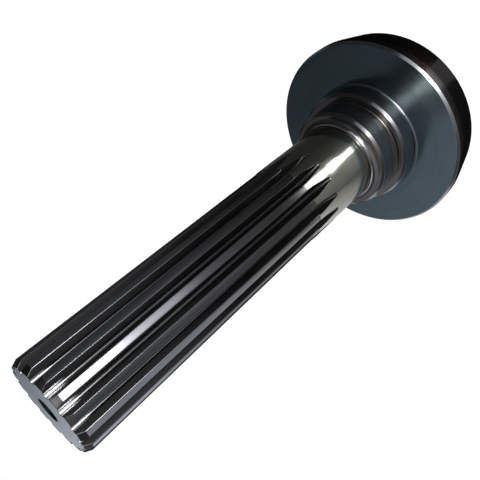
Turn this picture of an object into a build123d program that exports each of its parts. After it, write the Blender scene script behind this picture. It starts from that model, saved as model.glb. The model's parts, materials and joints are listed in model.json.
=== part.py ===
from build123d import *

import os
from math import acos, cos, degrees, pi, radians, sin, tan

# Splined drive shaft with a round head, forged in one piece with it.
# It is turned all over, ground on its seat and journal, and its splines are cut by a round cutter.
# Millimetres.  The shaft's axis is Z, with the back of the head at z = 0 and the splined tip up.

# Head: a thick round flange.  Its rim is straight behind the front face, then tapers to the back.
head_diameter = 90.0
head_back_diameter = 83.5
head_thickness = 21.0
rim_width = 5.5
rim_chamfer = 1.0

# Shoulder collar: the step that a bearing's inner ring comes up against.
shoulder_diameter = 52.0
shoulder_length = 9.5
shoulder_foot_radius = 1.0

# Bearing seat, with a relief turned at its foot to clear the corner of the bearing.
seat_diameter = 45.0
seat_length = 12.0
relief_width = 1.2
relief_depth = 0.4

# Front edge of both collars.
collar_chamfer = 1.0

# Plain ground journal, with a large fillet where it runs up to the seat's face.
# Outside the fillet the seat keeps a flat ring of face, up to its chamfer.
journal_diameter = 35.0
journal_length = 39.5
journal_fillet = 2.5
seat_face_flat = 0.5

# Splines: involute teeth, a little smaller over the tips than the journal.
spline_teeth = 16
spline_module = 2.0
spline_pressure_angle = 20.0
spline_tooth_thickness = 3.6
spline_tip_diameter = 34.6
spline_root_diameter = 28.2
spline_length = 114.0

# The cutter leaves each tooth space along its own arc, which runs out in the journal.
# The corners at its tip are cut off widely, so that the root of each space is nearly round.
# Between the corners there is always this much flat.
cutter_diameter = 53.0
cutter_corner = 0.6
cutter_flat = 0.2

# Lead-in at the end of the splines.
lead_in_length = 2.2
lead_in_depth = 1.1

# Tapped hole in the tip, drilled at the tapping size.
tapped_hole_diameter = 6.8
tapped_hole_depth = 25.0
tapped_hole_mouth_diameter = 9.0
tapped_hole_mouth_angle = 90.0
drill_point_angle = 118.0

# Centre hole in the back of the head, from turning between centres.
centre_pilot_diameter = 4.0
centre_pilot_depth = 9.0
centre_mouth_diameter = 8.5
centre_mouth_angle = 60.0

# How far a cutting shape reaches past the surface that it opens.
overrun = 1.0

# Worked-out radii and heights.
head_radius = head_diameter / 2
head_back_radius = head_back_diameter / 2
shoulder_radius = shoulder_diameter / 2
seat_radius = seat_diameter / 2
journal_radius = journal_diameter / 2
tip_radius = spline_tip_diameter / 2
root_radius = spline_root_diameter / 2
pitch_radius = spline_module * spline_teeth / 2
base_radius = pitch_radius * cos(radians(spline_pressure_angle))
cutter_radius = cutter_diameter / 2
relief_radius = seat_radius - relief_depth
blank_radius = max(journal_radius, tip_radius)

head_front = head_thickness
shoulder_top = head_front + shoulder_length
seat_top = shoulder_top + seat_length
journal_top = seat_top + journal_length
shaft_top = journal_top + spline_length


def near(section, radius, height):
    """The corner of a section that lies nearest to a radius and a height."""
    return section.vertices().sort_by_distance((radius, height))[0]


def turned_section():
    """Half of the turned blank's lengthwise section: x is the radius and y the height."""
    step_chamfer = abs(journal_radius - tip_radius)
    section = make_face(
        Polyline(
            (0, 0),
            (head_back_radius, 0),
            (head_radius, head_front - rim_width),
            (head_radius, head_front),
            (shoulder_radius, head_front),
            (shoulder_radius, shoulder_top),
            (relief_radius, shoulder_top),
            (relief_radius, shoulder_top + relief_width - relief_depth),
            (seat_radius, shoulder_top + relief_width),
            (seat_radius, seat_top),
            (journal_radius, seat_top),
            (journal_radius, journal_top),
            (tip_radius, journal_top + step_chamfer),
            (tip_radius, shaft_top - lead_in_length),
            (tip_radius - lead_in_depth, shaft_top),
            (0, shaft_top),
            close=True,
        )
    )
    section = chamfer(near(section, head_back_radius, 0), rim_chamfer)
    section = chamfer(near(section, head_radius, head_front), rim_chamfer)
    section = fillet(near(section, shoulder_radius, head_front), shoulder_foot_radius)
    section = chamfer(near(section, shoulder_radius, shoulder_top), collar_chamfer)
    section = chamfer(near(section, seat_radius, seat_top), collar_chamfer)
    fillet_room = seat_radius - collar_chamfer - seat_face_flat - journal_radius
    journal_corner = near(section, journal_radius, seat_top)
    return fillet(journal_corner, min(journal_fillet, fillet_room))


def turned_blank():
    """The shaft as it leaves the lathe, before its splines are cut."""
    return revolve(Plane.XZ * turned_section(), Axis.Z)


def involute(angle):
    """The involute function of an angle in radians."""
    return tan(angle) - angle


def flank_point(radius, side):
    """A point of a tooth space's flank, at a radius, in the plane across the shaft.

    Below the base circle there is no involute, and the flank runs on towards the axis.
    """
    flank_angle = acos(base_radius / max(radius, base_radius))
    half_tooth = spline_tooth_thickness / (2 * pitch_radius)
    half_tooth += involute(radians(spline_pressure_angle)) - involute(flank_angle)
    half_space = pi / spline_teeth - half_tooth
    return (radius * cos(half_space), side * radius * sin(half_space))


def space_profile():
    """One tooth space across the shaft: involute flanks, and a root with its corners cut off."""
    outer_radius = blank_radius + overrun
    middle_radius = (root_radius + outer_radius) / 2
    flanks = [
        ThreePointArc(
            flank_point(root_radius, side),
            flank_point(middle_radius, side),
            flank_point(outer_radius, side),
        )
        for side in (-1, 1)
    ]
    root = Line(flanks[0] @ 0, flanks[1] @ 0)
    mouth = Line(flanks[0] @ 1, flanks[1] @ 1)
    profile = make_face(Curve() + [*flanks, root, mouth])
    root_corners = profile.vertices().sort_by(Axis.X)[:2]
    corner_room = (root.length - cutter_flat) / 2
    return chamfer(root_corners, min(cutter_corner, corner_room))


def tooth_space():
    """What the cutter takes out: a straight groove, then the arc along which it leaves the shaft."""
    profile = Pos(0, 0, journal_top) * space_profile()
    groove = extrude(profile, amount=spline_length + overrun, dir=(0, 0, 1))
    rise = blank_radius - root_radius + overrun
    run_out_angle = degrees(acos(1 - rise / cutter_radius))
    cutter_axis = Axis((root_radius + cutter_radius, 0, journal_top), (0, -1, 0))
    run_out = revolve(profile, cutter_axis, revolution_arc=run_out_angle)
    return groove + run_out


def drilled_hole(diameter, depth, mouth_diameter, mouth_angle):
    """A drilled hole with a countersunk mouth and a pointed end, going down from z = 0."""
    radius = diameter / 2
    mouth_radius = mouth_diameter / 2
    mouth_depth = (mouth_radius - radius) / tan(radians(mouth_angle / 2))
    point_length = radius / tan(radians(drill_point_angle / 2))
    section = make_face(
        Polyline(
            (0, overrun),
            (mouth_radius, overrun),
            (mouth_radius, 0),
            (radius, -mouth_depth),
            (radius, -depth),
            (0, -depth - point_length),
            close=True,
        )
    )
    return revolve(Plane.XZ * section, Axis.Z)


def splined_shaft():
    """The whole shaft, in one solid, with a tooth facing +X and another facing -Y."""
    half_pitch_angle = 180 / spline_teeth
    spaces = PolarLocations(0, spline_teeth, start_angle=half_pitch_angle) * tooth_space()
    tapped_hole = drilled_hole(
        tapped_hole_diameter,
        tapped_hole_depth,
        tapped_hole_mouth_diameter,
        tapped_hole_mouth_angle,
    )
    centre_hole = drilled_hole(
        centre_pilot_diameter,
        centre_pilot_depth,
        centre_mouth_diameter,
        centre_mouth_angle,
    )
    shaft = turned_blank() - spaces
    shaft -= Pos(0, 0, shaft_top) * tapped_hole
    shaft -= Rot(180, 0, 0) * centre_hole
    return shaft


def main():
    os.makedirs("parts", exist_ok=True)
    export_step(splined_shaft(), "parts/splined_shaft.step")


main()
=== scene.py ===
import json
import math

import bmesh
import bpy
import numpy as np
from mathutils import Euler, Matrix, Vector

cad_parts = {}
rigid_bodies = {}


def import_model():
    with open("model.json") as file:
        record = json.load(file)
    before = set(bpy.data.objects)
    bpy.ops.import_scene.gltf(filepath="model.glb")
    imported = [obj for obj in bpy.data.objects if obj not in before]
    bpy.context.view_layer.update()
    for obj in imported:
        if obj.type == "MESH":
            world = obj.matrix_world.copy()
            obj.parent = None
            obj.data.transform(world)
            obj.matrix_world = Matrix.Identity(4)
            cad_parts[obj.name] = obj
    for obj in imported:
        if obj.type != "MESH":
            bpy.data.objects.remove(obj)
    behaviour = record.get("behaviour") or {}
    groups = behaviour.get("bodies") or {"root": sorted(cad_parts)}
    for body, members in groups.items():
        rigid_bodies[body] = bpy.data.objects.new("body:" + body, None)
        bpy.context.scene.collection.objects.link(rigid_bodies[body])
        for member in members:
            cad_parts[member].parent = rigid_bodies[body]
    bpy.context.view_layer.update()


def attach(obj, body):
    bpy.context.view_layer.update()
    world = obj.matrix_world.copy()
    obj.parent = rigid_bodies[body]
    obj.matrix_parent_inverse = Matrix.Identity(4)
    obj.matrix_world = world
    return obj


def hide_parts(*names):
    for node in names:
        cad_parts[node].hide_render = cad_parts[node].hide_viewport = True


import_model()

# A splined drive shaft with a round head. Sizes are in millimetres until a mesh is made.
# The shaft's axis is Z, with the back of the head at z = 0 and the splined tip up.
MM = 0.001
MICRON = 1e-6

# The turned parts, as radii and as heights above the back of the head.
HEAD_RADIUS = 44.97
HEAD_BACK_RADIUS = 41.75
HEAD_FRONT = 21.0
RIM_WIDTH = 5.5
SHOULDER_RADIUS = 26.0
SHOULDER_TOP = 30.5
RELIEF_RADIUS = 22.1
RELIEF_WIDTH = 1.2
SEAT_RADIUS = 22.5
SEAT_TOP = 42.5
JOURNAL_RADIUS = 17.5
JOURNAL_FILLET = 2.5
JOURNAL_TOP = 82.0
SHAFT_TOP = 196.0
CHAMFER = 1.0
LEAD_IN_LENGTH = 2.2
LEAD_IN_DEPTH = 1.1

# The splines. Their spaces come to a point at RUN_OUT_FOOT, and none reaches below ROUND_BELOW.
TEETH = 16
TIP_RADIUS = 17.3
ROOT_RADIUS = 14.1
PITCH_RADIUS = 16.0
PRESSURE_ANGLE = math.radians(20.0)
TOOTH_THICKNESS = 3.6
CUTTER_RADIUS = 26.5
CUTTER_FEED = 1.6
ROOT_FILLET = 0.95
EDGE_SOFTNESS = 0.25
RUN_OUT_SOFTNESS = 0.1
ROUND_BELOW = 60.0
RUN_OUT_FOOT = 69.0

# The tapped hole in the tip.
HOLE_MOUTH = 4.5
HOLE_DEPTH = 25.0
THREAD_RADIUS = 4.02
THREAD_CREST = 3.4
THREAD_PITCH = 1.25
THREAD_LENGTH = 21.0
THREAD_DROP = 1.3

# How finely the surface is divided. The columns of a slice run from the middle of a tooth space to
# the middle of a tooth: over the root, up the flank, round the tooth's edge and over its land.
# Angles are in radians. ROOT_FACES, FLANK_FACES and RUN_OUT_FACES count the faces from the middle of
# the space to where that finish ends.
FILLET_POINTS = 14
FLANK_POINTS = 30
COLUMNS = 13
ROOT_COLUMNS = (0.0, 0.25, 0.5, 0.7, 0.87, 1.0)
EDGE_COLUMNS = (0.4, 1.2, 2.2)
EDGE_STEP = 0.0045
LEAST_SPACE = 0.006
ROOT_FACES = 5
FLANK_FACES = 7
RUN_OUT_FACES = 9
BEYOND_SLOPE = 40.0
END_RINGS = (13.1, 9.5)
JOIN_DISTANCE = 2e-6

# What each strip of the surface is finished with. Several of these steels also carry a painted
# highlight or painted shade in their colour.
(
    BACK, RIM, FACE, COLLAR, GROUND, LAND, ROOT, FLANK, RUN_OUT, LEAD_IN, END_FACE, HOLE, HIGHLIGHT_EDGE,
) = range(13)


def involute(angle):
    """The involute function of an angle in radians."""
    return math.tan(angle) - angle


def space_half_angle(radius):
    """Half the angle that a tooth space takes up at a radius."""
    base_radius = PITCH_RADIUS * math.cos(PRESSURE_ANGLE)
    flank_angle = math.acos(base_radius / max(radius, base_radius))
    half_tooth = TOOTH_THICKNESS / (2 * PITCH_RADIUS)
    half_tooth += involute(PRESSURE_ANGLE) - involute(flank_angle)
    return math.pi / TEETH - half_tooth


def flank_point(radius):
    """A point of a tooth space's flank at a radius, in the plane across the shaft."""
    angle = space_half_angle(radius)
    return np.array((radius * math.cos(angle), radius * math.sin(angle)))


def flank_normal(radius):
    """The flank's direction out of the tooth, and into the tooth space, at a radius."""
    along = flank_point(radius + 0.01) - flank_point(radius - 0.01)
    along /= np.linalg.norm(along)
    return np.array((along[1], -along[0]))


def cutter_profile():
    """Half of the cutter's section: out from the middle of its tip, round its corner and up."""
    # The corner's circle touches both the tip and the flank, and is found by halving.
    low, high = ROOT_RADIUS, TIP_RADIUS
    for _ in range(40):
        radius = (low + high) / 2
        centre = flank_point(radius) + flank_normal(radius) * ROOT_FILLET
        if centre[0] < ROOT_RADIUS + ROOT_FILLET:
            low = radius
        else:
            high = radius
    end = math.atan2(*(flank_point(radius) - centre)[::-1])
    points = [(ROOT_RADIUS, 0.0)]
    for angle in np.linspace(math.pi, end, FILLET_POINTS):
        inward, across = centre + ROOT_FILLET * np.array((math.cos(angle), math.sin(angle)))
        points.append((inward, max(across, 1e-4)))
    for r in np.linspace(radius, JOURNAL_RADIUS + 2.0, FLANK_POINTS)[1:]:
        points.append(tuple(flank_point(r)))
    return np.array(points)


CUTTER = cutter_profile()


def groove_at(height):
    """The groove's surface across the shaft at a height: angles from its middle, and radii."""
    drop = max(JOURNAL_TOP - height, 0.0)
    axis = CUTTER[0, 0] + CUTTER_RADIUS
    reach = np.maximum((axis - CUTTER[:, 0]) ** 2 - drop**2, 0.0)
    across = axis - np.sqrt(reach)
    return np.arctan2(CUTTER[:, 1], across), np.hypot(across, CUTTER[:, 1])


def soft_min(first, second, softness):
    """The smaller of two radii, with the edge between them broken."""
    blend = np.maximum(softness - np.abs(first - second), 0.0) / softness
    return np.minimum(first, second) - blend * blend * softness / 4


def rounded(corners):
    """A turned outline from its corners, with each edge broken by a small radius.

    A corner is (radius, height, finish of the stretch after it, edge radius, arc steps). A ring
    beside each end of an arc, where there is room, keeps the stretch next to it even when shaded.
    """
    stations = []
    points = [np.array(c[:2]) for c in corners]
    for i, (radius, height, finish, edge, steps) in enumerate(corners):
        here = points[i]
        if i in (0, len(corners) - 1) or edge == 0:
            stations.append((radius, height, finish))
            continue
        back = points[i - 1] - here
        ahead = points[i + 1] - here
        back_length, ahead_length = np.linalg.norm(back), np.linalg.norm(ahead)
        back, ahead = back / back_length, ahead / ahead_length
        half = math.acos(max(-1.0, min(1.0, float(back @ ahead)))) / 2
        sweep = math.pi - 2 * half
        reach = edge / math.tan(half)
        middle = here + (back + ahead) / np.linalg.norm(back + ahead) * edge / math.sin(half)
        start, end = here + back * reach, here + ahead * reach
        beside = min(0.12, 0.3 * edge + 0.03)
        before = corners[i - 1][2]
        if back_length > reach + 3 * beside:
            stations.append((*(start + back * beside), before))
        for k in range(steps + 1):
            share = k / steps
            spoke = (start - middle) * math.sin((1 - share) * sweep)
            spoke += (end - middle) * math.sin(share * sweep)
            point = middle + spoke / math.sin(sweep)
            stations.append((*point, before if share < 0.5 else finish))
        if ahead_length > reach + 3 * beside:
            stations.append((*(end + ahead * beside), finish))
    return stations


def shaft_outline():
    """The shaft from the back's centre hole up to the end face, in rows like tip_stations' own."""
    stations = rounded([
        (0.0, 10.2, HOLE, 0, 0),
        (2.0, 9.0, HOLE, 0, 0),
        (2.0, 3.9, HOLE, 0.1, 2),
        (4.25, 0.0, BACK, 0.15, 2),
        (20.0, 0.0, BACK, 0, 0),
        (HEAD_BACK_RADIUS - CHAMFER, 0.0, RIM, 0.25, 2),
        (HEAD_BACK_RADIUS + 0.2, CHAMFER, RIM, 0.4, 2),
        (HEAD_RADIUS, HEAD_FRONT - RIM_WIDTH, RIM, 1.5, 3),
        # The front chamfer gets the paler steel whose colour paints its highlight.
        (HEAD_RADIUS, HEAD_FRONT - CHAMFER, HIGHLIGHT_EDGE, 0.2, 2),
        (HEAD_RADIUS - CHAMFER, HEAD_FRONT, FACE, 0.2, 2),
        (36.0, HEAD_FRONT, FACE, 0, 0),
        (SHOULDER_RADIUS, HEAD_FRONT, COLLAR, 1.0, 5),
        (SHOULDER_RADIUS, SHOULDER_TOP - CHAMFER, COLLAR, 0.15, 2),
        (SHOULDER_RADIUS - CHAMFER, SHOULDER_TOP, COLLAR, 0.15, 2),
        (RELIEF_RADIUS, SHOULDER_TOP, COLLAR, 0.25, 3),
        (RELIEF_RADIUS, SHOULDER_TOP + RELIEF_WIDTH - 0.4, COLLAR, 0.1, 2),
        (SEAT_RADIUS, SHOULDER_TOP + RELIEF_WIDTH, COLLAR, 0.1, 2),
        (SEAT_RADIUS, SEAT_TOP - CHAMFER, COLLAR, 0.15, 2),
        (SEAT_RADIUS - CHAMFER, SEAT_TOP, COLLAR, 0.15, 2),
        (JOURNAL_RADIUS, SEAT_TOP, GROUND, JOURNAL_FILLET, 8),
        (JOURNAL_RADIUS, 55.0, GROUND, 0, 0),
        (JOURNAL_RADIUS, 66.5, GROUND, 0, 0),
    ])
    # The rings lie closest where the tooth spaces run out to a point.
    for height in (*np.linspace(67.8, 71.0, 12), *np.linspace(71.6, 81.4, 14)):
        stations.append((JOURNAL_RADIUS, height, GROUND))
    stations += rounded([
        (JOURNAL_RADIUS, JOURNAL_TOP - 0.5, GROUND, 0, 0),
        (JOURNAL_RADIUS, JOURNAL_TOP, LAND, 0.15, 2),
        (TIP_RADIUS, JOURNAL_TOP + 0.2, LAND, 0.15, 2),
        (TIP_RADIUS, JOURNAL_TOP + 1.5, LAND, 0, 0),
        (TIP_RADIUS, 120.0, LAND, 0, 0),
        (TIP_RADIUS, 158.0, LAND, 0, 0),
        (TIP_RADIUS, SHAFT_TOP - LEAD_IN_LENGTH, LEAD_IN, 0.3, 3),
        (TIP_RADIUS - LEAD_IN_DEPTH, SHAFT_TOP, END_FACE, 0, 0),
    ])[:-1]
    return [(*station, 0.0) for station in stations]


def tip_stations():
    """The end face and its hole: (radius, height, finish, how far the spaces' edge is broken)."""
    edge = TIP_RADIUS - LEAD_IN_DEPTH
    stations = [
        (edge + 0.1, SHAFT_TOP - 0.2, LEAD_IN, 0.0),
        (edge + 0.03, SHAFT_TOP - 0.08, LEAD_IN, 0.03),
        (edge - 0.06, SHAFT_TOP - 0.02, END_FACE, 0.09),
        (edge - 0.16, SHAFT_TOP, END_FACE, 0.16),
        (edge - 0.28, SHAFT_TOP, END_FACE, 0.28),
        (END_RINGS[0], SHAFT_TOP, END_FACE, 0.0),
        (END_RINGS[1], SHAFT_TOP, END_FACE, 0.0),
    ]
    hole = rounded([
        (END_RINGS[1], SHAFT_TOP, END_FACE, 0, 0),
        (HOLE_MOUTH, SHAFT_TOP, HOLE, 0.12, 2),
        (THREAD_RADIUS, SHAFT_TOP - 0.5, HOLE, 0.1, 2),
        (THREAD_RADIUS, SHAFT_TOP - HOLE_DEPTH, HOLE, 0, 0),
        (THREAD_CREST, SHAFT_TOP - HOLE_DEPTH - 0.1, HOLE, 0, 0),
        (0.0, SHAFT_TOP - HOLE_DEPTH - 2.0, HOLE, 0, 0),
    ])[1:]
    return stations + [(*station, 0.0) for station in hole]


def is_round(radius, height):
    """Whether the shaft is round here: below the tooth spaces, or inside of their roots."""
    return height < ROUND_BELOW or radius < ROOT_RADIUS - 0.5


def columns(radius, height):
    """Angles from a tooth space's middle to the next tooth's middle, packed where the edges are."""
    pitch = math.pi / TEETH
    if is_round(radius, height):
        return np.linspace(0.0, pitch, COLUMNS)
    angles, radii = groove_at(height)
    edge = max(float(np.interp(radius, radii, angles)), LEAST_SPACE)
    corner = min(float(angles[FILLET_POINTS]), 0.75 * edge)
    inside = min(EDGE_STEP, 0.12 * edge)
    packed = [share * corner for share in ROOT_COLUMNS]
    packed += [corner + (edge - corner) * 0.5, edge - 1.4 * inside, edge - 0.5 * inside]
    packed += [edge + steps * EDGE_STEP for steps in EDGE_COLUMNS]
    return np.array((*packed, pitch))


def slice_row(radius, height, inset):
    """One row of the slice's points at a height, with a tooth space in its middle."""
    half = columns(radius, height)
    if is_round(radius, height):
        shape = np.full(half.size, radius)
    else:
        angles, radii = groove_at(height)
        beyond = radii[-1] + (half - angles[-1]) * BEYOND_SLOPE
        groove = np.where(half > angles[-1], beyond, np.interp(half, angles, radii))
        softness = EDGE_SOFTNESS if height > JOURNAL_TOP else RUN_OUT_SOFTNESS
        shape = soft_min(radius, groove - inset, softness)
    turn = np.concatenate((-half[::-1], half[1:])) + math.pi / TEETH
    shape = np.concatenate((shape[::-1], shape[1:]))
    return np.stack((shape * np.cos(turn), shape * np.sin(turn), np.full(turn.size, height)), 1)


def face_finish(station, from_middle):
    """A face's finish: its strip's own, or the root's or flank's where a tooth space passes."""
    radius, height, finish, _ = station
    in_run_out = radius == JOURNAL_RADIUS and RUN_OUT_FOOT < height < JOURNAL_TOP
    if finish == GROUND and in_run_out and from_middle < RUN_OUT_FACES:
        return RUN_OUT if from_middle < ROOT_FACES else FLANK
    if finish in (LAND, LEAD_IN) and from_middle < FLANK_FACES:
        return ROOT if from_middle < ROOT_FACES else FLANK
    return finish


def tooth_slice():
    """One tooth's slice of the shaft, from the back's centre hole to the tapped hole's bottom."""
    stations = shaft_outline() + tip_stations()
    rows = [slice_row(radius, height, inset) for radius, height, _, inset in stations]
    width = len(rows[0])
    faces = []
    finishes = []
    for r, station in enumerate(stations[:-1]):
        for c in range(width - 1):
            a = r * width + c
            faces.append((a, a + 1, a + width + 1, a + width))
            finishes.append(face_finish(station, abs(c + 0.5 - (width - 1) / 2)))
    mesh = bpy.data.meshes.new("tooth_slice")
    mesh.from_pydata((np.concatenate(rows) * MM).tolist(), [], faces)
    mesh.attributes.new("finish", "INT", "FACE").data.foreach_set("value", finishes)
    return mesh


def link(obj):
    """Puts an object in the scene."""
    bpy.context.scene.collection.objects.link(obj)
    return obj


class Nodes:
    """A node tree, with short ways to add to it."""

    def __init__(self, tree):
        self.tree = tree

    def feed(self, entry, value):
        """Gives an input a plain value, another node's output, or the first output of a node."""
        if isinstance(value, bpy.types.Node):
            value = value.outputs[0]
        if isinstance(value, bpy.types.NodeSocket):
            self.tree.links.new(value, entry)
        else:
            entry.default_value = value

    def add(self, kind, *given, inputs=None, **settings):
        """A new node with its settings, its first inputs in order, and other inputs by name."""
        new = self.tree.nodes.new(kind)
        for name, value in settings.items():
            setattr(new, name, value)
        for place, value in (*enumerate(given), *(inputs or {}).items()):
            self.feed(new.inputs[place], value)
        return new

    def math(self, operation, *given, **settings):
        """One step of arithmetic."""
        return self.add("ShaderNodeMath", *given, operation=operation, **settings).outputs[0]

    def ramp(self, value, low, high, to_low=0.0, to_high=1.0, **settings):
        """A value held between two limits, and spread between two others."""
        limits = (low, high, to_low, to_high)
        return self.add("ShaderNodeMapRange", value, *limits, **settings).outputs[0]

    def mix(self, share, first, second):
        """A colour between two colours."""
        node = self.add("ShaderNodeMix", data_type="RGBA", inputs={"Factor": share})
        entries = [s for s in node.inputs if s.type == "RGBA"]
        for entry, colour in zip(entries, (first, second)):
            self.feed(entry, (*colour, 1.0) if isinstance(colour, tuple) else colour)
        return next(s for s in node.outputs if s.type == "RGBA")

    def place_on_object(self):
        """Where a point is on its object."""
        return self.add("ShaderNodeTexCoord").outputs["Object"]


class ShapeTree(Nodes):
    """A Geometry Nodes tree, with named inputs for a first shape and for its sizes."""

    def __init__(self, name, first_shape, sizes):
        super().__init__(bpy.data.node_groups.new(name, "GeometryNodeTree"))
        sockets = self.tree.interface
        sockets.new_socket(first_shape, in_out="INPUT", socket_type="NodeSocketGeometry")
        self.ids = {
            size: sockets.new_socket(size, in_out="INPUT", socket_type=kind).identifier
            for size, kind in sizes.items()
        }
        sockets.new_socket("Shape", in_out="OUTPUT", socket_type="NodeSocketGeometry")
        self.given = self.add("NodeGroupInput").outputs

    def made(self, name, first_shape, sizes):
        """What the tree makes of a first shape, as a plain mesh in an object without modifiers."""
        holder = link(bpy.data.objects.new("first_shape", first_shape))
        modifier = holder.modifiers.new("tree", "NODES")
        modifier.node_group = self.tree
        for size, value in sizes.items():
            modifier[self.ids[size]] = value
        scene_state = bpy.context.evaluated_depsgraph_get()
        mesh = bpy.data.meshes.new_from_object(holder.evaluated_get(scene_state))
        mesh.name = name
        bpy.data.objects.remove(holder)
        empty = [i for i, m in enumerate(mesh.materials) if m is None]
        for slot in reversed(empty):
            mesh.materials.pop(index=slot)
        return link(bpy.data.objects.new(name, mesh))


def shaft_tree(steels):
    """Repeats one tooth's slice round the axis, closes the joins and gives each strip its steel."""
    tree = ShapeTree("slices_round_axis", "Slice", {
        "Teeth": "NodeSocketInt",
        "Join Distance": "NodeSocketFloat",
    })
    line = tree.add("GeometryNodeMeshLine", inputs={
        "Count": tree.given["Teeth"],
        "Offset": (0.0, 0.0, 0.0),
    })
    pitch = tree.math("DIVIDE", 2 * math.pi, tree.given["Teeth"])
    angle = tree.math("MULTIPLY", tree.add("GeometryNodeInputIndex"), pitch)
    spread = tree.add("GeometryNodeInstanceOnPoints", inputs={
        "Points": line,
        "Instance": tree.given["Slice"],
        "Rotation": tree.add("ShaderNodeCombineXYZ", inputs={"Z": angle}),
    })
    real = tree.add("GeometryNodeRealizeInstances", spread)
    joined = tree.add("GeometryNodeMergeByDistance", inputs={
        "Geometry": real,
        "Distance": tree.given["Join Distance"],
    })
    shape = tree.add("GeometryNodeSetShadeSmooth", joined)
    mark = tree.add("GeometryNodeInputNamedAttribute", data_type="INT", inputs={"Name": "finish"})
    for finish, steel in steels.items():
        chosen = tree.add("FunctionNodeCompare", data_type="INT", operation="EQUAL")
        first, second = [s for s in chosen.inputs if s.type == "INT"]
        tree.feed(first, mark.outputs["Attribute"])
        tree.feed(second, finish)
        shape = tree.add("GeometryNodeSetMaterial", inputs={
            "Geometry": shape,
            "Selection": chosen,
            "Material": steel,
        })
    tree.add("NodeGroupOutput", shape)
    return tree


def thread_tree(steel):
    """Carries a three-sided ridge along a spiral, from the bottom of the thread to its top."""
    tree = ShapeTree("ridge_on_spiral", "Start", {
        "Radius": "NodeSocketFloat",
        "Ridge": "NodeSocketFloat",
        "Turns": "NodeSocketFloat",
        "Length": "NodeSocketFloat",
        "Bottom": "NodeSocketVector",
    })
    spiral = tree.add("GeometryNodeCurveSpiral", inputs={
        "Resolution": 28,
        "Rotations": tree.given["Turns"],
        "Start Radius": tree.given["Radius"],
        "End Radius": tree.given["Radius"],
        "Height": tree.given["Length"],
    })
    upright = tree.add("GeometryNodeSetCurveNormal", mode="Z_UP", inputs={"Curve": spiral})
    ridge = tree.add("GeometryNodeCurvePrimitiveCircle", inputs={
        "Resolution": 3,
        "Radius": tree.given["Ridge"],
    })
    sweep = tree.add("GeometryNodeCurveToMesh", inputs={
        "Curve": upright,
        "Profile Curve": ridge,
        "Fill Caps": True,
    })
    seated = tree.add("GeometryNodeTransform", inputs={
        "Geometry": sweep,
        "Translation": tree.given["Bottom"],
    })
    real = tree.add("GeometryNodeRealizeInstances", seated)
    shape = tree.add("GeometryNodeSetMaterial", inputs={"Geometry": real, "Material": steel})
    tree.add("NodeGroupOutput", shape)
    return tree


def make_shaft(steels):
    """The whole shaft as one closed mesh."""
    return shaft_tree(steels).made("turned_and_splined_shaft", tooth_slice(), {
        "Teeth": TEETH,
        "Join Distance": JOIN_DISTANCE,
    })


def make_thread(steels):
    """The tip's internal thread: a ridge that winds up the tapped hole's wall."""
    ridge = (THREAD_RADIUS - THREAD_CREST) * 1.05
    start = bpy.data.meshes.new("thread_start")
    thread = thread_tree(steels[HOLE]).made("tapped_thread", start, {
        "Radius": (THREAD_CREST + ridge) * MM,
        "Ridge": ridge * MM,
        "Turns": THREAD_LENGTH / THREAD_PITCH,
        "Length": THREAD_LENGTH * MM,
        "Bottom": (0.0, 0.0, (SHAFT_TOP - THREAD_DROP - THREAD_LENGTH) * MM),
    })
    shape = bmesh.new()
    shape.from_mesh(thread.data)
    bmesh.ops.remove_doubles(shape, verts=shape.verts, dist=1e-7)
    bmesh.ops.recalc_face_normals(shape, faces=shape.faces)
    shape.to_mesh(thread.data)
    shape.free()
    return thread


class Recipe(Nodes):
    """A steel's nodes, joined up in a maker's order: lay, colour, roughness, relief."""

    def __init__(self, name):
        self.material = bpy.data.materials.new(name)
        self.material.use_nodes = True
        super().__init__(self.material.node_tree)
        self.shader = self.tree.nodes["Principled BSDF"]
        self.place = self.place_on_object()
        self.x, self.y, self.z = self.add("ShaderNodeSeparateXYZ", self.place).outputs
        flat = self.stretched((1.0, 1.0, 0.0))
        length = self.add("ShaderNodeVectorMath", flat, operation="LENGTH")
        self.from_axis = length.outputs["Value"]

    def stretched(self, scale):
        """The place on the object, stretched along its axes."""
        return self.add("ShaderNodeVectorMath", self.place, scale, operation="MULTIPLY")

    def spread(self, value, low, high, to_low=0.0, to_high=1.0):
        """A value between two limits, spread smoothly between two others."""
        limits = (low, high, to_low, to_high)
        return self.ramp(value, *limits, interpolation_type="SMOOTHSTEP")

    def towards_tip(self, start, stop):
        """From 0 to 1 up the shaft, between two distances below its tip in millimetres."""
        return self.spread(self.z, (SHAFT_TOP - start) * MM, (SHAFT_TOP - stop) * MM)

    def average(self, first, second):
        """The middle of two values."""
        return self.math("MULTIPLY", self.math("ADD", first, second), 0.5)

    def plus(self, level, marks, amount):
        """A level with an amount of some marks added to it."""
        return self.math("MULTIPLY_ADD", marks, amount, level)

    def mottle(self, per_metre, detail, place=None):
        """Soft cloudy patches, with so many to a metre."""
        return self.add("ShaderNodeTexNoise", inputs={
            "Vector": place or self.place,
            "Scale": per_metre,
            "Detail": detail,
        }).outputs[0]

    def lay(self, direction, across, along, detail=2.0):
        """Tool marks: so many to a metre across the lay, and so many along it."""
        if direction == "round":
            marks = self.stretched((along, along, across))
        elif direction == "lengthwise":
            marks = self.stretched((across, across, along))
        else:
            marks = self.add(
                "ShaderNodeCombineXYZ",
                self.math("MULTIPLY", self.from_axis, across),
                self.math("MULTIPLY", self.x, along),
                self.math("MULTIPLY", self.y, along),
            )
        return self.mottle(1.0, detail, marks)

    def finish(self, colour, rough, relief, microns, metal=1.0):
        """Joins colour, roughness and relief to the steel."""
        bump = self.add("ShaderNodeBump", inputs={
            "Strength": 1.0,
            "Distance": microns * MICRON,
            "Height": relief,
        })
        self.feed(self.shader.inputs["Base Color"], colour)
        self.feed(self.shader.inputs["Roughness"], rough)
        self.feed(self.shader.inputs["Normal"], bump)
        self.shader.inputs["Metallic"].default_value = metal
        return self.material


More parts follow.
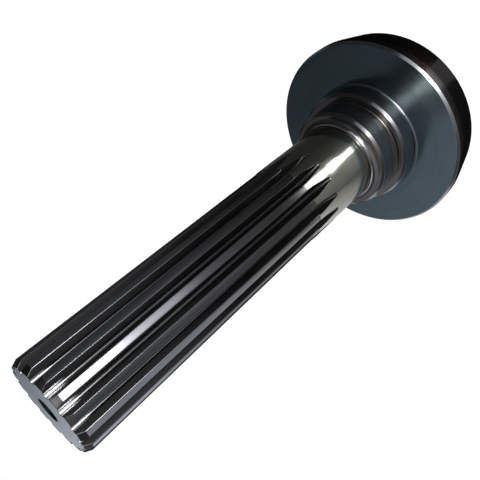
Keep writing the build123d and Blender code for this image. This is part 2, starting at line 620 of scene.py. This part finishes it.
def ground(name, base, worn, rough):
    """Steel ground round the axis: fine rings, an oil bloom and a few rubbed patches."""
    steel = Recipe(name)
    fine = steel.lay("round", across=6000.0, along=40.0)
    broad = steel.lay("round", across=700.0, along=14.0, detail=3.0)
    bloom = steel.mottle(55.0, detail=4.0)
    rubbed = steel.spread(steel.mottle(140.0, detail=5.0), 0.52, 0.68)
    colour = steel.mix(steel.spread(steel.average(broad, bloom), 0.35, 0.65), base, worn)
    level = steel.plus(rough - 0.05, fine, 0.05)
    level = steel.plus(level, broad, 0.05)
    level = steel.plus(level, rubbed, 0.05)
    return steel.finish(colour, level, steel.plus(broad, fine, 0.3), microns=1.2)


def splined(name, base, worn, rough, tip=None, end=None, tip_gain=0.0):
    """Steel cut and rubbed along the shaft: long fine lines.

    Towards the tip it may turn paler and smoother (tip, tip_gain), and paler still and duller at the
    very end (end). The paler colour is a painted highlight along the tooth spaces' roots.
    """
    steel = Recipe(name)
    fine = steel.lay("lengthwise", across=5000.0, along=60.0)
    broad = steel.lay("lengthwise", across=900.0, along=12.0, detail=3.0)
    bloom = steel.mottle(70.0, detail=4.0)
    colour = steel.mix(steel.spread(steel.average(broad, bloom), 0.38, 0.64), base, worn)
    level = steel.plus(rough - 0.06, fine, 0.06)
    level = steel.plus(level, broad, 0.06)
    # A painted highlight: paler towards the tip, and palest at the very end.
    if tip:
        tip_highlight = steel.math("POWER", steel.towards_tip(34.0, 2.0), 3.0)
        colour = steel.mix(tip_highlight, colour, tip)
        level = steel.plus(level, tip_highlight, -tip_gain)
        end_highlight = steel.towards_tip(7.5, 3.0)
        colour = steel.mix(end_highlight, colour, end)
        level = steel.plus(level, end_highlight, 0.18)
    return steel.finish(colour, level, steel.plus(broad, fine, 0.4), microns=0.8)


def hobbed(name, base, worn, rough, metal, tip=None, gloss=0.5):
    """Steel left by the cutter: feed marks across the tooth, with a mottled tone. Its near-black
    colour is painted shade in the tooth spaces and their run-outs.

    The colour may turn paler towards the tip (tip).
    """
    steel = Recipe(name)
    feed = steel.math("MULTIPLY", steel.z, 2 * math.pi / (CUTTER_FEED * MM))
    scallop = steel.math("ABSOLUTE", steel.math("SINE", feed))
    grain = steel.lay("round", across=3000.0, along=400.0, detail=3.0)
    tone_mottle = steel.mottle(120.0, detail=5.0)
    colour = steel.mix(steel.spread(tone_mottle, 0.35, 0.65), base, worn)
    if tip:
        colour = steel.mix(steel.towards_tip(71.0, 11.0), colour, tip)
    level = steel.plus(rough - 0.06, tone_mottle, 0.12)
    steel.shader.inputs["Specular IOR Level"].default_value = gloss
    return steel.finish(colour, level, steel.plus(scallop, grain, 0.35), microns=3.0, metal=metal)


def turned_flat(name, base, worn, rough, inner, outer, stretch=0.0):
    """A turned face: rings left by the tool, a bloom, and a shade that changes from hub to edge.

    The rings may stretch what the face mirrors (stretch).
    """
    steel = Recipe(name)
    fine = steel.lay("face", across=5000.0, along=30.0)
    broad = steel.lay("face", across=650.0, along=10.0, detail=3.0)
    bloom = steel.mottle(45.0, detail=4.0)
    outwards = steel.spread(steel.from_axis, inner * MM, outer * MM, -0.1, 0.1)
    share = steel.math("ADD", steel.average(broad, bloom), outwards)
    colour = steel.mix(steel.spread(share, 0.36, 0.66), base, worn)
    level = steel.plus(rough - 0.06, fine, 0.06)
    level = steel.plus(level, bloom, 0.1)
    steel.shader.inputs["Anisotropic"].default_value = stretch
    round_axis = steel.add("ShaderNodeCombineXYZ", steel.math("MULTIPLY", steel.y, -1.0), steel.x)
    steel.feed(steel.shader.inputs["Tangent"], round_axis)
    return steel.finish(colour, level, steel.plus(broad, fine, 0.25), microns=1.4)


def dark_turned(name, base, worn, rough):
    """Dark steel with turning marks round it and a brown bloom. The dark colour is blackening on
    the rim, and painted shade on the lead-in and in the holes.
    """
    steel = Recipe(name)
    fine = steel.lay("round", across=4000.0, along=30.0)
    broad = steel.lay("round", across=500.0, along=12.0, detail=3.0)
    bloom = steel.mottle(60.0, detail=5.0)
    colour = steel.mix(steel.spread(bloom, 0.42, 0.7), base, worn)
    level = steel.plus(rough - 0.06, bloom, 0.12)
    return steel.finish(colour, level, steel.plus(fine, broad, 0.8), microns=3.0)


def make_steels():
    """The steel of each finish: its name, its colour clean and worn, and its roughness."""
    return {
        BACK: turned_flat(
            "turned_back", (0.2, 0.225, 0.24), (0.26, 0.28, 0.29), 0.32, inner=20.0, outer=41.0
        ),
        # The rim's dark colour is its blackening. The brown of its bloom is partly brown oxide and
        # partly a painted reddish reflection.
        RIM: dark_turned("blackened_rim", (0.058, 0.057, 0.06), (0.11, 0.074, 0.062), 0.26),
        # The face's grey is the steel's own. Its blue cast is painted light: bluish light from above
        # on this upward face.
        FACE: turned_flat(
            "turned_face", (0.172, 0.225, 0.25), (0.205, 0.265, 0.293), 0.17,
            inner=22.0, outer=45.0, stretch=0.3,
        ),
        COLLAR: ground("ground_collars", (0.23, 0.222, 0.218), (0.28, 0.265, 0.255), 0.15),
        # The journal's grey is the ground steel's own. Its slight yellow cast is painted light, a
        # warm light from the side.
        GROUND: ground("ground_steel", (0.35, 0.35, 0.315), (0.39, 0.385, 0.35), 0.1),
        LAND: splined("spline_lands", (0.16, 0.158, 0.165), (0.19, 0.188, 0.195), 0.15),
        # The roots' dark colour is painted shade at the bottoms of the tooth spaces. Their paler
        # colour towards the tip, and paler still at the very end, is a painted highlight.
        ROOT: splined(
            "spline_roots", (0.036, 0.036, 0.038), (0.052, 0.051, 0.053), 0.36,
            tip=(0.11, 0.11, 0.11), end=(0.7, 0.7, 0.7), tip_gain=0.17,
        ),
        # The flanks' near-black, unmetallic colour is painted shade on the sides of the tooth
        # spaces.
        FLANK: hobbed(
            "spline_flanks", (0.004, 0.0038, 0.004), (0.007, 0.0067, 0.007), 0.5, metal=0.0,
            tip=(0.03, 0.029, 0.03), gloss=0.06,
        ),
        # The run-outs' dark colour is painted shade where the tooth spaces end in the journal.
        RUN_OUT: hobbed(
            "cutter_run_out", (0.03, 0.028, 0.026), (0.05, 0.046, 0.042), 0.3, metal=0.8
        ),
        # The lead-in's dark colour is painted shade on the tip's chamfer.
        LEAD_IN: dark_turned("turned_lead_in", (0.12, 0.115, 0.112), (0.17, 0.162, 0.158), 0.3),
        # The end face is paler and bluer than the other steels: painted light falling from above on
        # this upward face.
        END_FACE: turned_flat(
            "turned_tip", (0.27, 0.31, 0.345), (0.33, 0.37, 0.405), 0.26, inner=4.0, outer=16.0
        ),
        # The near-black of the hole walls is painted shade inside the holes.
        HOLE: dark_turned("bored_wall", (0.03, 0.03, 0.03), (0.05, 0.047, 0.044), 0.4),
        # The head's front chamfer is paler than the ground steel: a painted highlight along that
        # edge.
        HIGHLIGHT_EDGE: ground("broken_edges", (0.34, 0.34, 0.33), (0.42, 0.42, 0.41), 0.15),
    }


# The studio, in metres. Polished steel is seen by what it mirrors, so it has shaded sheets under,
# round and over it, which show in the steel and nowhere else.
WHITE = (1.0, 1.0, 1.0, 1.0)
FLOOR_SIZE = 16.0
ROOM_RADIUS = 1.6
ROOM_HEIGHT = 4.0
STRIP_Y = -0.3

# Where one shade passes into the next: out from under the head, and up the wall.
HEAD_EDGE = (0.055, 0.059)
PANEL_FOOT = (0.12, 0.2)
PANEL_TOP = (1.36, 1.44)
UNDER_HEAD = 0.04

# Shades round the axis, as stops of (degrees from the front, brightness).
STREAK = [
    (-20, 0.48), (-12, 0.7), (-9, 0.9), (-8, 4.0), (5.6, 4.0), (6.6, 0.6), (12, 0.3), (20, 0.16),
]
RIGHT_OF_HEAD = [(30, 0.1), (40, 0.065), (60, 0.04), (110, 0.04), (130, 0.07), (155, 0.2)]
ROUND_HEAD = [
    (-83, 0.5), (-75, 0.22), (-60, 0.17), (-44, 0.2), (0, 0.1), (40, 0.09), (80, 0.05),
    (120, 0.015), (158, 0.01), (170, 0.05), (176, 0.3), (180, 1.0),
]
FAR_FRONT = [
    (-100, 1.0), (-86, 1.0), (-78, 0.7), (-60, 0.24), (-50, 0.24), (-36, 0.42), (-14, 0.4),
    (14, 0.35), (40, 0.26), (50, 0.14),
]
FAR_BACK = [(158, 0.03), (175, 0.3), (180, 1.0)]
FAR_FLOOR = [
    (-180, 1.0), (-152, 0.6), (-140, 1.1), (-131, 1.3), (-120, 0.7), *FAR_FRONT,
    (84, 0.17), (120, 0.15), (135, 0.05), *FAR_BACK,
]

# The floor's shades at growing distances from the axis.
FLOOR_SHADES = {
    0.062: [
        (-180, 0.5), (-130, 0.45), (-90, 0.4), (-60, 0.18), (-40, 0.32),
        *STREAK, *RIGHT_OF_HEAD, (180, 0.5),
    ],
    0.1: [
        (-180, 0.9), (-130, 0.9), (-90, 0.85), (-60, 0.2), (-40, 0.33),
        *STREAK, *RIGHT_OF_HEAD, (180, 0.9),
    ],
    0.111: [
        (-180, 1.0), (-130, 1.0), (-90, 1.0), (-60, 0.2), (-40, 0.33),
        *STREAK, *RIGHT_OF_HEAD, (180, 1.0),
    ],
    0.113: [
        (-180, 1.0), (-153, 0.01), (-141, 0.03), (-131, 0.5), (-120, 0.4), (-100, 0.8),
        (-91, 0.85), *ROUND_HEAD,
    ],
    0.14: [
        (-180, 1.0), (-153, 0.01), (-141, 0.04), (-131, 0.6), (-120, 0.45), (-100, 0.85),
        (-91, 0.9), *ROUND_HEAD,
    ],
    0.3: [
        (-180, 1.0), (-152, 0.12), (-140, 0.25), (-131, 0.65), (-120, 0.6), *FAR_FRONT,
        (84, 0.16), (120, 0.08), *FAR_BACK,
    ],
    0.7: FAR_FLOOR,
}
PANEL_SHADES = [
    (-180, 0.12), (-150, 0.2), (-95, 0.08), (-60, 0.12), (-45, 0.25), (-28, 0.5), (-15, 1.4),
    (-10, 2.6), (13, 2.6), (18, 1.0), (34, 0.4), (38, 0.04), (110, 0.03), (150, 0.03), (180, 0.12),
]
WALL_SHADES = [
    (-180, 0.2), (-177, 0.28), (-172, 0.34), (-95, 0.4), (-60, 0.55), (-20, 0.55), (-8, 0.3),
    (0, 0.14), (45, 0.1), (70, 0.07), (110, 0.045), (160, 0.045), (168, 0.1), (179, 0.12),
    (180, 0.2),
]
CEILING_SHADES = [
    (-180, 0.3), (-150, 0.45), (-40, 0.45), (0, 0.3), (40, 0.2), (150, 0.2), (180, 0.3),
]


class Sheet(Nodes):
    """A sheet's nodes, which know where a point is: round the axis, out from it and up."""

    def __init__(self, tree):
        super().__init__(tree)
        x, y, z = self.add("ShaderNodeSeparateXYZ", self.place_on_object()).outputs
        front = self.math("MULTIPLY", y, -1.0)
        squares = self.math("ADD", self.math("MULTIPLY", x, x), self.math("MULTIPLY", y, y))
        self.turn = self.math("MULTIPLY_ADD", self.math("ARCTAN2", x, front), 0.5 / math.pi, 0.5)
        self.away = self.math("SQRT", squares)
        self.side = x
        self.height = z

    def blend(self, share, first, second):
        """A brightness between two others."""
        return self.math("MULTIPLY_ADD", self.math("SUBTRACT", second, first), share, first)

    def shade_round(self, stops):
        """A brightness that changes round the axis."""
        node = self.add("ShaderNodeValToRGB", self.turn)
        elements = node.color_ramp.elements
        most = max(level for _, level in stops)
        while len(elements) < len(stops):
            elements.new(0.5)
        for element, (degrees, level) in zip(elements, stops):
            element.position = (degrees + 180.0) / 360.0
            element.color = (level / most, level / most, level / most, 1.0)
        return self.math("MULTIPLY", node, most)

    def tint(self):
        """Neutral near the shaft, and a little blue from a few hands' breadths away."""
        return self.mix(self.ramp(self.away, 0.15, 0.4), (1.0, 1.0, 1.0), (0.93, 0.98, 1.07))


def floor_grey(sheet):
    """The floor: rings of shade that pass into one another, and dark under the head."""
    (reached, stops), *further = FLOOR_SHADES.items()
    grey = sheet.shade_round(stops)
    for distance, stops in further:
        ring = sheet.shade_round(stops)
        grey = sheet.blend(sheet.ramp(sheet.away, reached, distance), grey, ring)
        reached = distance
    return sheet.math("MULTIPLY", grey, sheet.ramp(sheet.away, *HEAD_EDGE, to_low=UNDER_HEAD))


def wall_grey(sheet):
    """The wall: as the far floor at its foot, then a panel, and grey above that."""
    foot = sheet.shade_round(FAR_FLOOR)
    panel = sheet.shade_round(PANEL_SHADES)
    wall = sheet.shade_round(WALL_SHADES)
    lower = sheet.blend(sheet.ramp(sheet.height, *PANEL_FOOT), foot, panel)
    return sheet.blend(sheet.ramp(sheet.height, *PANEL_TOP), lower, wall)


def ceiling_grey(sheet):
    """The ceiling: paler over one side of the shaft than over the other."""
    return sheet.shade_round(CEILING_SHADES)


def rising_grey(sheet):
    """A brightness that rises with height, for the sheet below the low strip."""
    return sheet.ramp(sheet.height, 0.0, 0.1, to_low=0.4, to_high=4.2)


def sideways_grey(sheet):
    """A brightness that falls from one side to the other, for the sheet behind the tip."""
    return sheet.ramp(sheet.side, -0.14, 0.14, to_low=0.9, to_high=0.42)


def mirrored_only(name, points, faces, grey):
    """A sheet of the studio that only the steel shows.

    grey is its brightness: a number, or a function that adds nodes for a shade to the sheet's.
    """
    material = bpy.data.materials.new(name)
    material.use_nodes = True
    material.node_tree.nodes.clear()
    sheet = Sheet(material.node_tree)
    glow = (sheet.tint(), grey(sheet)) if callable(grey) else (WHITE, grey)
    sheet.add("ShaderNodeOutputMaterial", sheet.add("ShaderNodeEmission", *glow))
    mesh = bpy.data.meshes.new(name)
    mesh.from_pydata(points, [], faces)
    mesh.materials.append(material)
    obj = link(bpy.data.objects.new(name, mesh))
    obj.visible_camera = False
    obj.visible_diffuse = False
    obj.visible_shadow = False


def upright_card(name, half_width, y, low, high, grey):
    """A flat upright card across the front or the back of the studio."""
    points = [
        (-half_width, y, low),
        (half_width, y, low),
        (half_width, y, high),
        (-half_width, y, high),
    ]
    mirrored_only(name, points, [(0, 1, 2, 3)], grey)


def band(name, inner, outer, grey, steps=64):
    """A band round the axis between two circles. A circle is (radius, height)."""
    turns = [2 * math.pi * i / steps for i in range(steps)]
    points = [(r * math.cos(t), r * math.sin(t), z) for r, z in (inner, outer) for t in turns]
    ends = [(i + 1) % steps for i in range(steps)]
    faces = [(i, ends[i], steps + ends[i], steps + i) for i in range(steps)]
    mirrored_only(name, points, faces, grey)


def sheets_to_mirror():
    """The floor, wall and ceiling that the steel mirrors, and the cards that it shows as lines."""
    floor_edge, ceiling_edge = (ROOM_RADIUS, 5e-4), (ROOM_RADIUS, ROOM_HEIGHT)
    band("floor_shade", (0.03, 5e-4), floor_edge, floor_grey)
    band("wall_shade", floor_edge, ceiling_edge, wall_grey)
    band("ceiling_shade", (0.01, ROOM_HEIGHT), ceiling_edge, ceiling_grey)
    behind_strip = STRIP_Y - 0.001
    upright_card(
        "rising_sheet", half_width=0.062, y=behind_strip, low=0.0, high=0.1, grey=rising_grey
    )
    upright_card("top_sheet", half_width=0.07, y=behind_strip, low=0.138, high=0.165, grey=5.0)
    upright_card("tip_sheet", half_width=0.6, y=1.4, low=0.12, high=0.6, grey=sideways_grey)


def lamp(name, place, toward, width, height, radiance):
    """A soft rectangular lamp, which the camera doesn't see."""
    data = bpy.data.lights.new(name, "AREA")
    data.shape = "RECTANGLE"
    data.size, data.size_y = width, height
    data.energy = radiance * math.pi * width * height
    obj = link(bpy.data.objects.new(name, data))
    obj.location = place
    ahead = (Vector(toward) - Vector(place)).normalized()
    obj.rotation_mode = "QUATERNION"
    obj.rotation_quaternion = ahead.to_track_quat("-Z", "Y")
    obj.visible_camera = False


def lamps():
    """A low strip and a box in front, and a larger box high up."""
    lamp(
        "low_strip_far", place=(0.0, STRIP_Y, 0.128), toward=(0.0, 0.0, 0.128),
        width=0.11, height=0.06, radiance=12.0,
    )
    lamp(
        "front_box", place=(0.0, -0.6, 0.45), toward=(0.0, 0.0, 0.03),
        width=0.1, height=0.08, radiance=25.0,
    )
    lamp(
        "high_box", place=(0.06, -1.0, 1.55), toward=(0.0, 0.0, 0.05),
        width=0.4, height=0.2, radiance=7.5,
    )


def seen_white(nodes, otherwise, white):
    """A strength that is white for rays from the camera and off gloss, and less for the others."""
    rays = nodes.add("ShaderNodeLightPath").outputs
    seen = nodes.math("ADD", rays["Is Camera Ray"], rays["Is Glossy Ray"], use_clamp=True)
    return nodes.ramp(seen, 0.0, 1.0, otherwise, white)


def pale_floor():
    """A white floor that glows a little where it is seen, so that it has no horizon."""
    half, z = FLOOR_SIZE / 2, -1e-4
    mesh = bpy.data.meshes.new("floor")
    points = [(-half, -half, z), (half, -half, z), (half, half, z), (-half, half, z)]
    mesh.from_pydata(points, [], [(0, 1, 2, 3)])
    material = bpy.data.materials.new("pale_floor")
    material.use_nodes = True
    nodes = Nodes(material.node_tree)
    shader = nodes.tree.nodes["Principled BSDF"]
    shader.inputs["Base Color"].default_value = (0.9, 0.9, 0.9, 1.0)
    shader.inputs["Roughness"].default_value = 0.9
    shader.inputs["Emission Color"].default_value = WHITE
    nodes.feed(shader.inputs["Emission Strength"], seen_white(nodes, 0.0, 0.75))
    mesh.materials.append(material)
    link(bpy.data.objects.new("floor", mesh))


def white_room():
    """A white room, dimmer as a light than as it is seen."""
    world = bpy.data.worlds.new("room")
    bpy.context.scene.world = world
    world.use_nodes = True
    nodes = Nodes(world.node_tree)
    background = nodes.tree.nodes["Background"]
    background.inputs["Color"].default_value = WHITE
    nodes.feed(background.inputs["Strength"], seen_white(nodes, 0.35, 1.0))


def near_camera():
    """A camera near the tip, which looks down the shaft to the head."""
    data = bpy.data.cameras.new("camera")
    data.sensor_width = 36.0
    data.lens = 39.645
    camera = link(bpy.data.objects.new("camera", data))
    place = Vector((-0.002208, -0.168676, 0.21469))
    turn = Euler([math.radians(a) for a in (-45.802, 40.1031, -149.1647)])
    camera.matrix_world = Matrix.LocRotScale(place, turn, None)
    bpy.context.scene.camera = camera


steels = make_steels()
shaft = make_shaft(steels)
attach(shaft, "root")
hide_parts("splined_shaft")
thread = make_thread(steels)
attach(thread, "root")

pale_floor()
white_room()
lamps()
sheets_to_mirror()
near_camera()
bpy.context.scene.view_settings.view_transform = "Standard"
